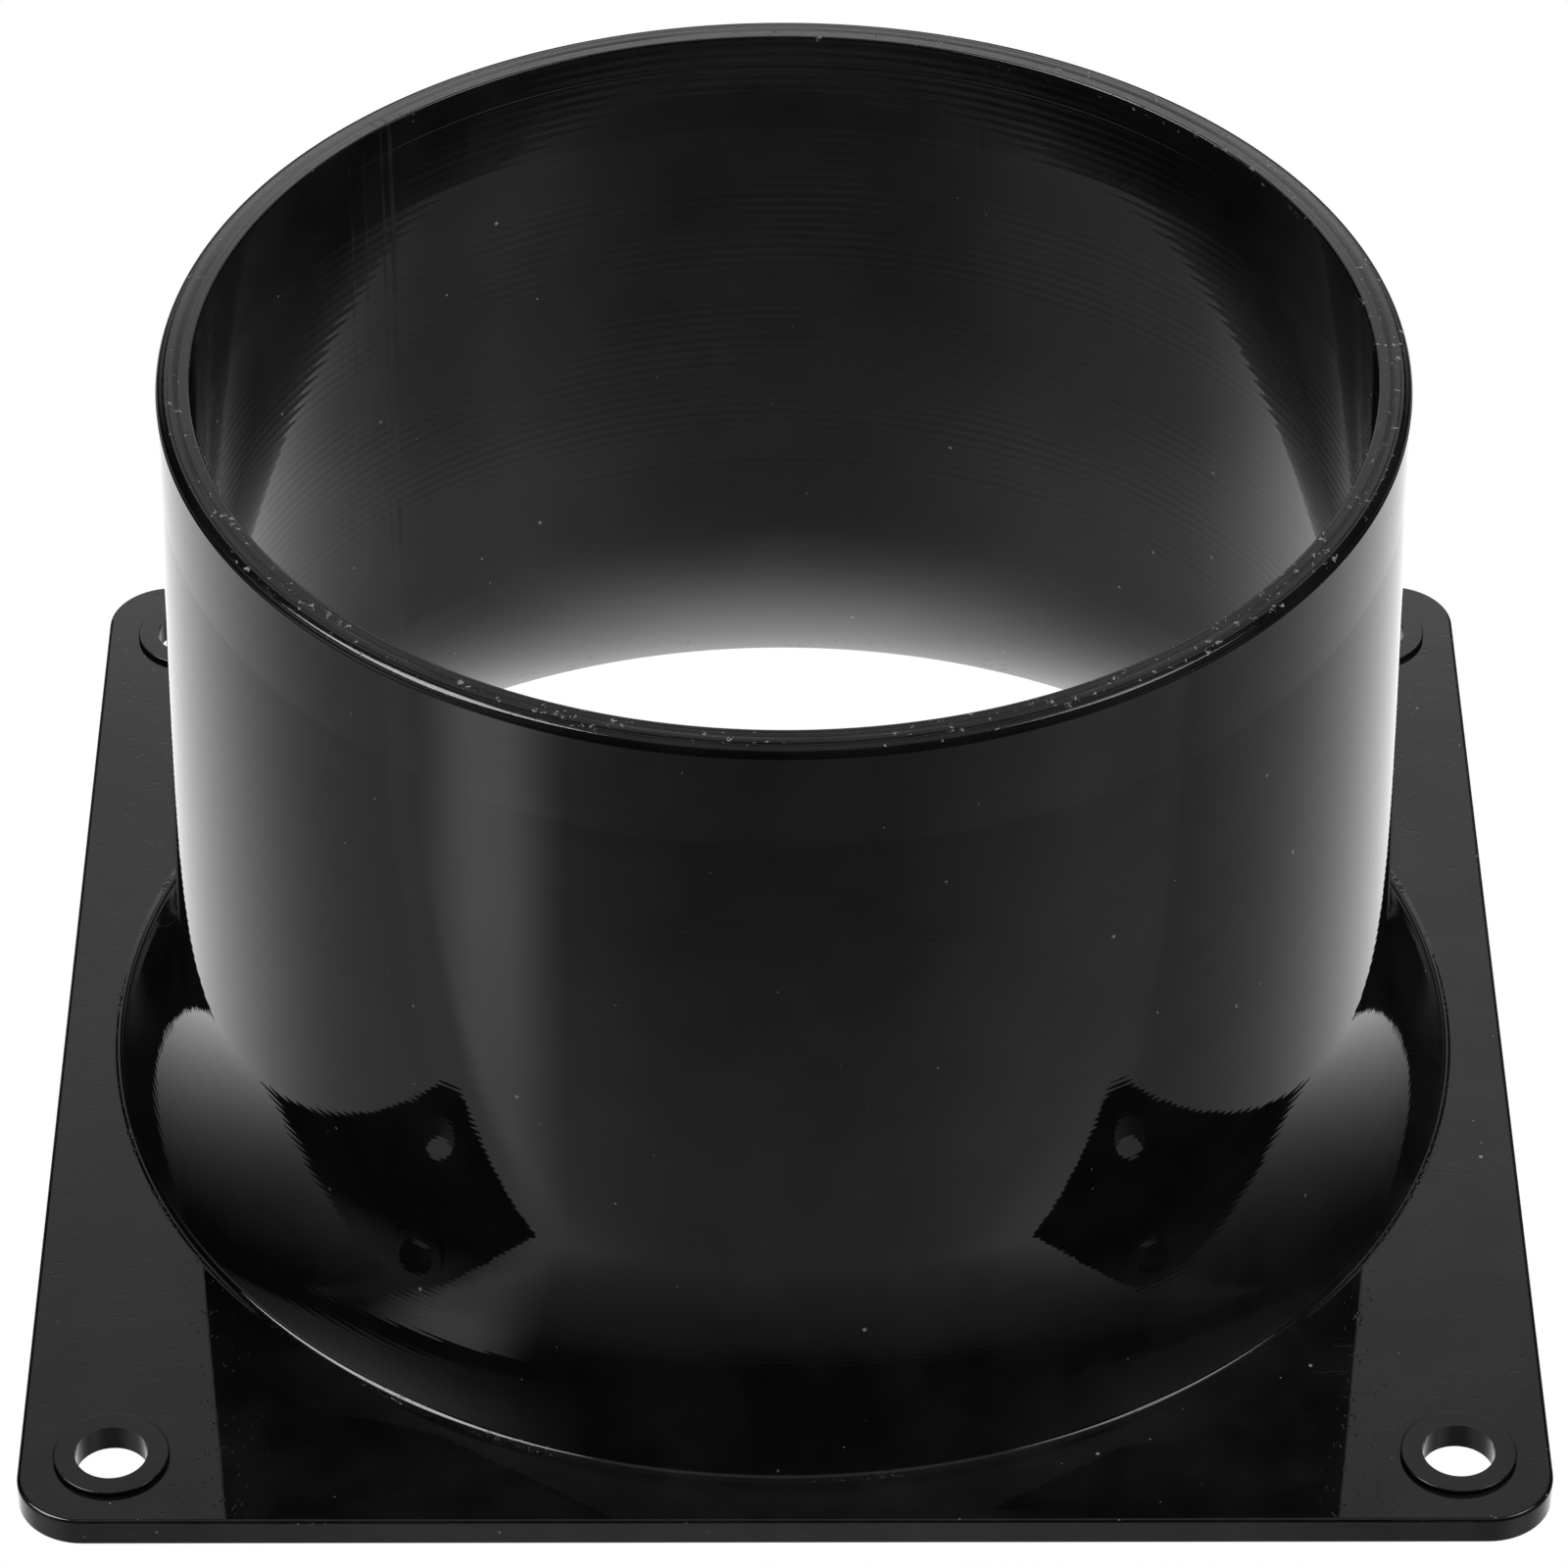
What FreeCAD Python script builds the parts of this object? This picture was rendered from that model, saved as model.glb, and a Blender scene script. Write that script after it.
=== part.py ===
"""Square-plate toilet flange with a tall flared collar.

The frame has its origin at the centre of the plate's underside, on the collar's axis, with +Z up
the collar. All sizes are millimetres.

Three pieces make up the flange:
  base_plate     square plate with a round opening and four raised screw bosses
  flared_collar  round spigot whose foot flares out and is bonded into the plate's opening
  seal_ring      rubber ring in the rebate between the plate's underside and the collar's foot
"""
import FreeCAD, Part
import math
import os

import Sketcher

PARTS_FOLDER = "parts"

# Driving dimensions: alias, value in millimetres (or degrees), meaning.
DIMENSIONS = [
    ("plate_side", 134.5, "side of the square plate"),
    ("plate_thickness", 2.7, "thickness of the plate"),
    ("plate_corner_radius", 6.0, "radius of the plate's four corners"),
    ("plate_edge_round", 0.35, "rounding of the plate's upper outline"),
    ("plate_under_round", 0.15, "rounding of the plate's lower outline"),
    ("hole_pitch", 118.2, "distance between neighbouring screw holes"),
    ("hole_diameter", 6.4, "screw hole"),
    ("boss_diameter", 10.2, "raised ring round a screw hole"),
    ("boss_height", 0.5, "height of the ring above the plate"),
    ("boss_edge_round", 0.12, "rounding of the ring's outer edge"),
    ("relief_diameter", 9.0, "shallow recess in the underside, below a ring"),
    ("relief_depth", 0.7, "depth of that recess, which keeps the wall even"),
    ("joint_radius", 61.8, "collar's foot and plate's opening, where they are bonded"),
    ("seal_width", 3.0, "radial width of the seal and its rebate"),
    ("seal_depth", 1.3, "height of the seal and depth of its rebate"),
    ("rim_height", 78.3, "top of the collar above the underside"),
    ("rim_radius", 55.0, "outside of the collar at its rim"),
    ("wall_thickness", 3.0, "collar wall, measured across at the rim"),
    ("land_length", 10.0, "straight stretch of wall below the rim, for the pipe"),
    ("draft_angle", 1.1, "slope of the wall below the straight stretch, wider towards the plate"),
    ("flare_radius", 36.2, "concave outer curve from the wall to the plate"),
    ("mouth_curve_radius", 39.2, "convex inner curve from the wall to the mouth"),
    ("mouth_radius", 60.6, "inside of the collar at the underside"),
    ("rim_outer_round", 0.8, "rounding of the rim's outer edge"),
    ("rim_inner_round", 0.2, "rounding of the rim's inner edge"),
]

BOSS_COUNT = 4
GUESS_ROUNDS = 20
SHEET = "Dimensions"
ORIGIN_POINT = (-1, 1)
SKETCH_H_AXIS = -1
SKETCH_V_AXIS = -2
START, END, CENTRE = 1, 2, 3

doc = FreeCAD.newDocument("toilet_flange")


def make_sheet():
    """Put the driving dimensions in a spreadsheet, and return them by name as well."""
    sheet = doc.addObject("Spreadsheet::Sheet", SHEET)
    sheet.set("A1", "name")
    sheet.set("B1", "value")
    sheet.set("C1", "meaning")
    for row, (alias, value, meaning) in enumerate(DIMENSIONS, start=2):
        sheet.set(f"A{row}", alias)
        sheet.set(f"B{row}", str(value))
        sheet.set(f"C{row}", meaning)
        sheet.setAlias(f"B{row}", alias)
    doc.recompute()
    return {alias: value for alias, value, _ in DIMENSIONS}


def make_body(name):
    """Make a body whose label names its file."""
    body = doc.addObject("PartDesign::Body", name)
    body.Label = name
    body.Placement = FreeCAD.Placement()
    return body


def origin_plane(body, role):
    """Find one of the body's own origin planes or axes."""
    for feature in body.Origin.OriginFeatures:
        if feature.Role == role:
            return feature
    raise ValueError(f"{body.Label} has no {role}")


def make_sketch(body, name, role):
    """Attach a new sketch to one of the body's own origin planes."""
    sketch = body.newObject("Sketcher::SketchObject", name)
    sketch.AttachmentSupport = [(origin_plane(body, role), "")]
    sketch.MapMode = "FlatFace"
    return sketch


def constrain(sketch, *arguments, size=None):
    """Add a constraint; when a size is given, bind it to that expression."""
    index = sketch.addConstraint(Sketcher.Constraint(*arguments))
    if size:
        sketch.setExpression(f"Constraints[{index}]", size)
    return index


def circle_sketch(body, name, radius, size, x=0.0, y=0.0, place=None):
    """Sketch one circle on the XY plane, centred on the origin or at a bound place."""
    sketch = make_sketch(body, name, "XY_Plane")
    centre = FreeCAD.Vector(x, y, 0)
    circle = sketch.addGeometry(Part.Circle(centre, FreeCAD.Vector(0, 0, 1), radius), False)
    constrain(sketch, "Radius", circle, radius, size=size)
    if place:
        constrain(sketch, "DistanceX", *ORIGIN_POINT, circle, CENTRE, x, size=place)
        constrain(sketch, "DistanceY", *ORIGIN_POINT, circle, CENTRE, y, size=place)
    else:
        constrain(sketch, "Coincident", circle, CENTRE, *ORIGIN_POINT)
    return sketch


def edges_where(shape, test):
    """Name the edges that a test picks out, in the form a fillet takes."""
    return [f"Edge{number}" for number, edge in enumerate(shape.Edges, start=1) if test(edge)]


def lies_at(edge, height):
    """True for an edge that lies wholly at one height."""
    box = edge.BoundBox
    return abs(box.ZMin - height) < 1e-6 and abs(box.ZMax - height) < 1e-6


def add_fillet(body, base, name, picked, size):
    """Round the picked edges of the last feature, and make sure that some were picked."""
    if not picked:
        raise ValueError(f"{name} picked no edges")
    fillet = body.newObject("PartDesign::Fillet", name)
    fillet.Base = (base, picked)
    fillet.setExpression("Radius", size)
    doc.recompute()
    return fillet


def require_change(name, before, after, grows):
    """Stop when a feature that should add or remove material has done neither."""
    change = after.Volume - before.Volume
    if (change <= 0) if grows else (change >= 0):
        raise ValueError(f"{name} changed the volume by {change:.3f}")


def make_base_plate(dim):
    """Square plate, its opening, the seal's rebate and four bosses with screw holes and reliefs."""
    body = make_body("base_plate")
    side = dim["plate_side"]
    half = side / 2

    outline = make_sketch(body, "plate_outline", "XY_Plane")
    corners = [(-half, -half), (half, -half), (half, half), (-half, half)]
    points = [FreeCAD.Vector(x, y, 0) for x, y in corners]
    for index in range(4):
        outline.addGeometry(Part.LineSegment(points[index], points[(index + 1) % 4]), False)
    for index in range(4):
        constrain(outline, "Coincident", index, END, (index + 1) % 4, START)
    for index in (0, 2):
        constrain(outline, "Horizontal", index)
        constrain(outline, "Vertical", index + 1)
    constrain(outline, "Symmetric", 0, START, 1, END, *ORIGIN_POINT)
    constrain(outline, "DistanceX", 0, START, 0, END, side, size=f"{SHEET}.plate_side")
    constrain(outline, "DistanceY", 1, START, 1, END, side, size=f"{SHEET}.plate_side")

    plate = body.newObject("PartDesign::Pad", "plate")
    plate.Profile = outline
    plate.setExpression("Length", f"{SHEET}.plate_thickness")
    doc.recompute()

    upright = edges_where(plate.Shape, lambda edge: edge.BoundBox.ZLength > dim["plate_thickness"] / 2)
    rounded = add_fillet(body, plate, "plate_corners", upright, f"{SHEET}.plate_corner_radius")

    top = edges_where(rounded.Shape, lambda edge: lies_at(edge, dim["plate_thickness"]))
    rounded = add_fillet(body, rounded, "plate_upper_outline", top, f"{SHEET}.plate_edge_round")
    bottom = edges_where(rounded.Shape, lambda edge: lies_at(edge, 0))
    rounded = add_fillet(body, rounded, "plate_lower_outline", bottom, f"{SHEET}.plate_under_round")

    opening = body.newObject("PartDesign::Pocket", "collar_opening")
    opening.Profile = circle_sketch(body, "opening_circle", dim["joint_radius"], f"{SHEET}.joint_radius")
    opening.Type = "ThroughAll"
    opening.Reversed = True
    doc.recompute()
    require_change("collar_opening", rounded.Shape, opening.Shape, grows=False)

    rebate = body.newObject("PartDesign::Pocket", "seal_rebate")
    rebate.Profile = circle_sketch(body, "rebate_circle", dim["joint_radius"] + dim["seal_width"],
                                   f"{SHEET}.joint_radius + {SHEET}.seal_width")
    rebate.Reversed = True
    rebate.setExpression("Length", f"{SHEET}.seal_depth")
    doc.recompute()
    require_change("seal_rebate", opening.Shape, rebate.Shape, grows=False)

    reach = dim["hole_pitch"] / 2
    boss = body.newObject("PartDesign::Pad", "screw_boss")
    boss.Profile = circle_sketch(body, "boss_circle", dim["boss_diameter"] / 2, f"{SHEET}.boss_diameter / 2",
                                 reach, reach, f"{SHEET}.hole_pitch / 2")
    boss.setExpression("Length", f"{SHEET}.plate_thickness + {SHEET}.boss_height")
    doc.recompute()
    require_change("screw_boss", rebate.Shape, boss.Shape, grows=True)

    relief = body.newObject("PartDesign::Pocket", "boss_relief")
    relief.Profile = circle_sketch(body, "relief_circle", dim["relief_diameter"] / 2,
                                   f"{SHEET}.relief_diameter / 2", reach, reach, f"{SHEET}.hole_pitch / 2")
    relief.Reversed = True
    relief.setExpression("Length", f"{SHEET}.relief_depth")
    doc.recompute()
    require_change("boss_relief", boss.Shape, relief.Shape, grows=False)

    hole = body.newObject("PartDesign::Pocket", "screw_hole")
    hole.Profile = circle_sketch(body, "hole_circle", dim["hole_diameter"] / 2, f"{SHEET}.hole_diameter / 2",
                                 reach, reach, f"{SHEET}.hole_pitch / 2")
    hole.Type = "ThroughAll"
    hole.Reversed = True
    doc.recompute()
    require_change("screw_hole", relief.Shape, hole.Shape, grows=False)

    pattern = body.newObject("PartDesign::PolarPattern", "screw_places")
    pattern.Originals = [boss, relief, hole]
    pattern.Axis = (origin_plane(body, "Z_Axis"), [""])
    pattern.Angle = 360
    pattern.Occurrences = BOSS_COUNT
    body.Tip = pattern
    doc.recompute()

    boss_top = dim["plate_thickness"] + dim["boss_height"]
    boss_edges = edges_where(pattern.Shape, lambda edge: lies_at(edge, boss_top)
                             and edge.Curve.Radius > dim["hole_diameter"] / 2 + 0.1)
    add_fillet(body, pattern, "boss_edges", boss_edges, f"{SHEET}.boss_edge_round")
    return body


def collar_guess(dim):
    """Work out where the collar's profile points lie, to start the sketch's solver close to home."""
    slope = math.tan(math.radians(dim["draft_angle"]))
    lean = math.cos(math.radians(dim["draft_angle"]))
    land_end = dim["rim_height"] - dim["land_length"]

    def arc_centre(top_radius, curve, end_radius, end_height):
        height = end_height + curve
        for _ in range(GUESS_ROUNDS):
            centre = top_radius + (land_end - height) * slope + curve / lean
            height = end_height + math.sqrt(curve ** 2 - (centre - end_radius) ** 2)
        return centre, height

    outer = arc_centre(dim["rim_radius"], dim["flare_radius"], dim["joint_radius"], dim["plate_thickness"])
    inner = arc_centre(dim["rim_radius"] - dim["wall_thickness"], dim["mouth_curve_radius"],
                       dim["mouth_radius"], 0)
    return outer, inner


def make_flared_collar(dim):
    """Turned profile: straight land, drafted wall, flare outside, bell mouth inside, plain foot."""
    body = make_body("flared_collar")
    profile = make_sketch(body, "collar_profile", "XZ_Plane")
    draft = math.radians(dim["draft_angle"])
    outer_centre, inner_centre = collar_guess(dim)

    def tangent_point(centre, curve):
        return (centre[0] - curve * math.cos(draft), centre[1] - curve * math.sin(draft))

    def vector(point):
        return FreeCAD.Vector(point[0], point[1], 0)

    def arc(centre, curve, first, last):
        circle = Part.Circle(vector(centre), FreeCAD.Vector(0, 0, 1), curve)
        angles = [math.atan2(point[1] - centre[1], point[0] - centre[0]) for point in (first, last)]
        return Part.ArcOfCircle(circle, *[angle % (2 * math.pi) for angle in angles])

    land_end = dim["rim_height"] - dim["land_length"]
    rim_inner = (dim["rim_radius"] - dim["wall_thickness"], dim["rim_height"])
    rim_outer = (dim["rim_radius"], dim["rim_height"])
    land_inner = (rim_inner[0], land_end)
    land_outer = (rim_outer[0], land_end)
    outer_tangent = tangent_point(outer_centre, dim["flare_radius"])
    inner_tangent = tangent_point(inner_centre, dim["mouth_curve_radius"])
    crease = (dim["joint_radius"], dim["plate_thickness"])
    foot = (dim["joint_radius"], 0)
    mouth = (dim["mouth_radius"], 0)

    rim, land_out, wall_out, flare, joint, sole, bell, wall_in, land_in = range(9)
    profile.addGeometry(Part.LineSegment(vector(rim_inner), vector(rim_outer)), False)
    profile.addGeometry(Part.LineSegment(vector(rim_outer), vector(land_outer)), False)
    profile.addGeometry(Part.LineSegment(vector(land_outer), vector(outer_tangent)), False)
    profile.addGeometry(arc(outer_centre, dim["flare_radius"], outer_tangent, crease), False)
    profile.addGeometry(Part.LineSegment(vector(crease), vector(foot)), False)
    profile.addGeometry(Part.LineSegment(vector(foot), vector(mouth)), False)
    profile.addGeometry(arc(inner_centre, dim["mouth_curve_radius"], inner_tangent, mouth), False)
    profile.addGeometry(Part.LineSegment(vector(inner_tangent), vector(land_inner)), False)
    profile.addGeometry(Part.LineSegment(vector(land_inner), vector(rim_inner)), False)

    constrain(profile, "Coincident", rim, END, land_out, START)
    constrain(profile, "Coincident", land_out, END, wall_out, START)
    constrain(profile, "Tangent", wall_out, END, flare, START)
    constrain(profile, "Coincident", flare, END, joint, START)
    constrain(profile, "Coincident", joint, END, sole, START)
    constrain(profile, "Coincident", sole, END, bell, END)
    constrain(profile, "Tangent", bell, START, wall_in, START)
    constrain(profile, "Coincident", wall_in, END, land_in, START)
    constrain(profile, "Coincident", land_in, END, rim, START)
    constrain(profile, "Horizontal", rim)
    for upright in (land_out, joint, land_in):
        constrain(profile, "Vertical", upright)
    constrain(profile, "Parallel", wall_in, wall_out)
    for on_underside in (joint, sole):
        constrain(profile, "PointOnObject", on_underside, END, SKETCH_H_AXIS)
    constrain(profile, "DistanceX", *ORIGIN_POINT, rim, END, rim_outer[0], size=f"{SHEET}.rim_radius")
    constrain(profile, "DistanceY", *ORIGIN_POINT, rim, END, rim_outer[1], size=f"{SHEET}.rim_height")
    constrain(profile, "DistanceX", rim, START, rim, END, dim["wall_thickness"],
              size=f"{SHEET}.wall_thickness")
    constrain(profile, "DistanceY", land_out, END, land_out, START, dim["land_length"],
              size=f"{SHEET}.land_length")
    constrain(profile, "DistanceY", land_in, START, land_in, END, dim["land_length"],
              size=f"{SHEET}.land_length")
    constrain(profile, "Angle", SKETCH_V_AXIS, 1, wall_out, END, draft, size=f"{SHEET}.draft_angle")
    constrain(profile, "Radius", flare, dim["flare_radius"], size=f"{SHEET}.flare_radius")
    constrain(profile, "DistanceX", *ORIGIN_POINT, flare, END, crease[0], size=f"{SHEET}.joint_radius")
    constrain(profile, "DistanceY", *ORIGIN_POINT, flare, END, crease[1], size=f"{SHEET}.plate_thickness")
    constrain(profile, "Radius", bell, dim["mouth_curve_radius"], size=f"{SHEET}.mouth_curve_radius")
    constrain(profile, "DistanceX", *ORIGIN_POINT, sole, END, mouth[0], size=f"{SHEET}.mouth_radius")
    doc.recompute()

    turned = body.newObject("PartDesign::Revolution", "collar")
    turned.Profile = profile
    turned.ReferenceAxis = (origin_plane(body, "Z_Axis"), [""])
    turned.Angle = 360
    doc.recompute()

    def rim_edge(edge, radius):
        return lies_at(edge, dim["rim_height"]) and abs(edge.Curve.Radius - radius) < 0.01

    outside = edges_where(turned.Shape, lambda edge: rim_edge(edge, rim_outer[0]))
    rounded = add_fillet(body, turned, "rim_outer_edge", outside, f"{SHEET}.rim_outer_round")
    inside = edges_where(rounded.Shape, lambda edge: rim_edge(edge, rim_inner[0]))
    add_fillet(body, rounded, "rim_inner_edge", inside, f"{SHEET}.rim_inner_round")
    return body


def make_seal_ring(dim):
    """Flat rubber ring that fills the rebate, flush with the underside."""
    body = make_body("seal_ring")
    ring = body.newObject("PartDesign::Pad", "ring")
    ring.Profile = circle_sketch(body, "ring_outside", dim["joint_radius"] + dim["seal_width"],
                                 f"{SHEET}.joint_radius + {SHEET}.seal_width")
    ring.setExpression("Length", f"{SHEET}.seal_depth")
    doc.recompute()

    centre = body.newObject("PartDesign::Pocket", "ring_inside")
    centre.Profile = circle_sketch(body, "inside_circle", dim["joint_radius"], f"{SHEET}.joint_radius")
    centre.Type = "ThroughAll"
    centre.Reversed = True
    doc.recompute()
    require_change("ring_inside", ring.Shape, centre.Shape, grows=False)
    return body


def check(bodies):
    """Refuse to write anything when a feature has failed or a shape is not a sound solid."""
    doc.recompute()
    for thing in doc.Objects:
        if "Invalid" in thing.State or "Error" in thing.State:
            raise ValueError(f"{thing.Label}: {thing.State}")
    for body in bodies:
        if body.Shape.isNull() or not body.Shape.isValid() or len(body.Shape.Solids) != 1:
            raise ValueError(f"{body.Label} is not one valid solid")


def write(bodies):
    """Write each piece to its own file and print its size."""
    os.makedirs(PARTS_FOLDER, exist_ok=True)
    for body in bodies:
        body.Shape.exportStep(os.path.join(PARTS_FOLDER, body.Label + ".step"))
        box = body.Shape.optimalBoundingBox(False, False)
        print(f"{body.Label}: {box.XLength:.2f} x {box.YLength:.2f} x {box.ZLength:.2f} mm, "
              f"from z {box.ZMin:.2f}, volume {body.Shape.Volume:.0f} mm3")


dimensions = make_sheet()
pieces = [make_base_plate(dimensions), make_flared_collar(dimensions), make_seal_ring(dimensions)]
check(pieces)
write(pieces)
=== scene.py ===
"""Looks for a black moulded plastic pipe flange: square screw-down plate, flared collar, hidden seal ring."""

import math

import bmesh
import bpy
from mathutils import Matrix, Vector


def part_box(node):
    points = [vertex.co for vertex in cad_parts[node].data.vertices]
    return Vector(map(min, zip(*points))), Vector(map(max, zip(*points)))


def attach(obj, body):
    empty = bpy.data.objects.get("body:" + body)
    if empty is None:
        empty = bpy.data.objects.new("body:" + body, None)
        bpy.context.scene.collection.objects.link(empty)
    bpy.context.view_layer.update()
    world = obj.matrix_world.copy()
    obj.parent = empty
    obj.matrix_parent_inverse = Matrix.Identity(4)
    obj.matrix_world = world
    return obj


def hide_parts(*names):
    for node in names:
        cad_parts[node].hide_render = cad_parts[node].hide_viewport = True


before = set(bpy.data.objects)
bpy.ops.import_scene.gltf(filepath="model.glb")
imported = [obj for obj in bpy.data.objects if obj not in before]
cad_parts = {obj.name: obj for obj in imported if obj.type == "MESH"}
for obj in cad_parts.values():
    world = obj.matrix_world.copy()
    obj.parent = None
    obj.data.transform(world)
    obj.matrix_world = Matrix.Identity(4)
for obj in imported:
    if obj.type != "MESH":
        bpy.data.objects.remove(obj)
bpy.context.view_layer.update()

MM = 0.001
ROOT = "root"

# ---------------------------------------------------------------- sizes
collar_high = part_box("flared_collar")[1]
plate_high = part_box("base_plate")[1]
seal_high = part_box("seal_ring")[1]

RIM_HEIGHT = collar_high[2]
JOINT_RADIUS = collar_high[0]
HALF_SIDE = plate_high[0]
BOSS_TOP = plate_high[2]
SEAL_RADIUS = seal_high[0]
SEAL_TOP = seal_high[2]
RIM_RADIUS = 55.0 * MM
WALL = 3.0 * MM
LAND = 10.0 * MM
DRAFT = math.radians(1.1)
FLARE_CURVE = 36.2 * MM
MOUTH_CURVE = 39.2 * MM
MOUTH_RADIUS = 60.6 * MM
RIM_OUTER_ROUND = 0.8 * MM
RIM_INNER_ROUND = 0.2 * MM
PLATE_TOP = 2.7 * MM
CORNER_RADIUS = 6.0 * MM
EDGE_ROUND = 0.35 * MM
UNDER_ROUND = 0.15 * MM
HOLE_OFFSET = 59.1 * MM
HOLE_RADIUS = 3.2 * MM
BOSS_RADIUS = 5.1 * MM
BOSS_ROUND = 0.12 * MM
RELIEF_RADIUS = 4.5 * MM
RELIEF_DEPTH = 0.7 * MM
CREASE_FILLET = 0.7 * MM
HOLES = [(sx * HOLE_OFFSET, sy * HOLE_OFFSET) for sx in (-1, 1) for sy in (-1, 1)]
ROUND_STEPS = 384
BOSS_STEPS = 96


# ---------------------------------------------------------------- meshes
class Shell:
    """Gathers faces with an exact normal at each corner, and joins corners that meet."""

    def __init__(self):
        self.points = []
        self.index = {}
        self.faces = []
        self.normals = []

    def point(self, p):
        key = tuple(round(v * 1e7) for v in p)
        if key not in self.index:
            self.index[key] = len(self.points)
            self.points.append(tuple(p))
        return self.index[key]

    def face(self, corners, normals):
        keys, kept = [], []
        for corner, normal in zip(corners, normals):
            key = self.point(corner)
            if key not in keys:
                keys.append(key)
                kept.append(normal)
        if len(keys) > 2:
            self.faces.append(keys)
            self.normals.extend(kept)

    def build(self, name, material, slot):
        mesh = bpy.data.meshes.new(name)
        mesh.from_pydata(self.points, [], self.faces)
        mesh.polygons.foreach_set("use_smooth", [True] * len(mesh.polygons))
        mesh.normals_split_custom_set([Vector(n).normalized() for n in self.normals])
        mesh.materials.append(material)
        piece = bpy.data.objects.new(name, mesh)
        bpy.context.scene.collection.objects.link(piece)
        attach(piece, ROOT)
        return piece


def arc(centre, radius, start, end, steps):
    """Profile points (r, z, normal r, normal z) along an arc; a negative radius turns the normals inwards."""
    run = []
    side = math.copysign(1, radius)
    for i in range(steps + 1):
        a = start + (end - start) * i / steps
        run.append((centre[0] + abs(radius) * math.cos(a), centre[1] + abs(radius) * math.sin(a),
                    side * math.cos(a), side * math.sin(a)))
    return run


def line(start, end, steps):
    """Profile points along a straight run, with open air on the right hand of its direction."""
    dr, dz = end[0] - start[0], end[1] - start[1]
    size = math.hypot(dr, dz)
    return [(start[0] + dr * i / steps, start[1] + dz * i / steps, dz / size, -dr / size)
            for i in range(steps + 1)]


def lathe(shell, runs, steps, centre=(0, 0)):
    """Turn profile runs round a vertical axis. Open air lies to the right of each run's direction."""
    turns = [(math.cos(2 * math.pi * k / steps), math.sin(2 * math.pi * k / steps)) for k in range(steps)]
    for run in runs:
        for a, b in zip(run, run[1:]):
            for k in range(steps):
                c0, c1 = turns[k], turns[(k + 1) % steps]
                corners, normals = [], []
                for p, c in ((a, c0), (a, c1), (b, c1), (b, c0)):
                    corners.append((centre[0] + p[0] * c[0], centre[1] + p[0] * c[1], p[1]))
                    normals.append((p[2] * c[0], p[2] * c[1], p[3]))
                shell.face(corners, normals)


def curve_meets(top_radius, curve, end_radius, end_height):
    """Centre of an arc that is tangent to the drafted wall and passes through its end point."""
    land_end = RIM_HEIGHT - LAND
    height = end_height + curve
    rounds = 20
    for _ in range(rounds):
        centre = top_radius + (land_end - height) * math.tan(DRAFT) + curve / math.cos(DRAFT)
        height = end_height + math.sqrt(curve ** 2 - (centre - end_radius) ** 2)
    return centre, height


def collar_runs():
    """The collar's section as runs: outside from the crease up, over the rim, then down to the mouth."""
    land_end = RIM_HEIGHT - LAND
    outer = curve_meets(RIM_RADIUS, FLARE_CURVE, JOINT_RADIUS, PLATE_TOP)
    inner = curve_meets(RIM_RADIUS - WALL, MOUTH_CURVE, MOUTH_RADIUS, 0)
    reach = FLARE_CURVE - CREASE_FILLET
    fillet_height = PLATE_TOP + CREASE_FILLET
    fillet = (outer[0] - math.sqrt(reach ** 2 - (outer[1] - fillet_height) ** 2), fillet_height)
    toe = math.atan2(fillet_height - outer[1], fillet[0] - outer[0]) % (2 * math.pi)
    tangent = math.pi + DRAFT
    mouth = math.atan2(-inner[1], MOUTH_RADIUS - inner[0]) % (2 * math.pi)
    crease = arc(fillet, -CREASE_FILLET, 1.5 * math.pi, toe, 8)
    flare = arc(outer, -FLARE_CURVE, toe, tangent, 40)
    wall_out = line(flare[-1], (RIM_RADIUS, land_end), 30)
    land_out = line((RIM_RADIUS, land_end), (RIM_RADIUS, RIM_HEIGHT - RIM_OUTER_ROUND), 8)
    outer_round = arc((RIM_RADIUS - RIM_OUTER_ROUND, RIM_HEIGHT - RIM_OUTER_ROUND), RIM_OUTER_ROUND,
                      0, math.pi / 2, 8)
    inner_edge = RIM_RADIUS - WALL
    rim = line((RIM_RADIUS - RIM_OUTER_ROUND, RIM_HEIGHT), (inner_edge + RIM_INNER_ROUND, RIM_HEIGHT), 4)
    inner_round = arc((inner_edge + RIM_INNER_ROUND, RIM_HEIGHT - RIM_INNER_ROUND), RIM_INNER_ROUND,
                      math.pi / 2, math.pi, 5)
    land_in = line((inner_edge, RIM_HEIGHT - RIM_INNER_ROUND), (inner_edge, land_end), 8)
    bell = arc(inner, MOUTH_CURVE, tangent, mouth, 32)
    wall_in = line((inner_edge, land_end), bell[0], 30)
    sole = line((MOUTH_RADIUS, 0), (JOINT_RADIUS, 0), 1)
    joint = line((JOINT_RADIUS, 0), (JOINT_RADIUS, PLATE_TOP), 1)
    lap = line((JOINT_RADIUS, PLATE_TOP), (fillet[0], PLATE_TOP), 1)
    outside = [lap, crease, flare, wall_out, land_out]
    return outside + [outer_round, rim, inner_round, land_in, wall_in, bell, sole, joint]


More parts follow.
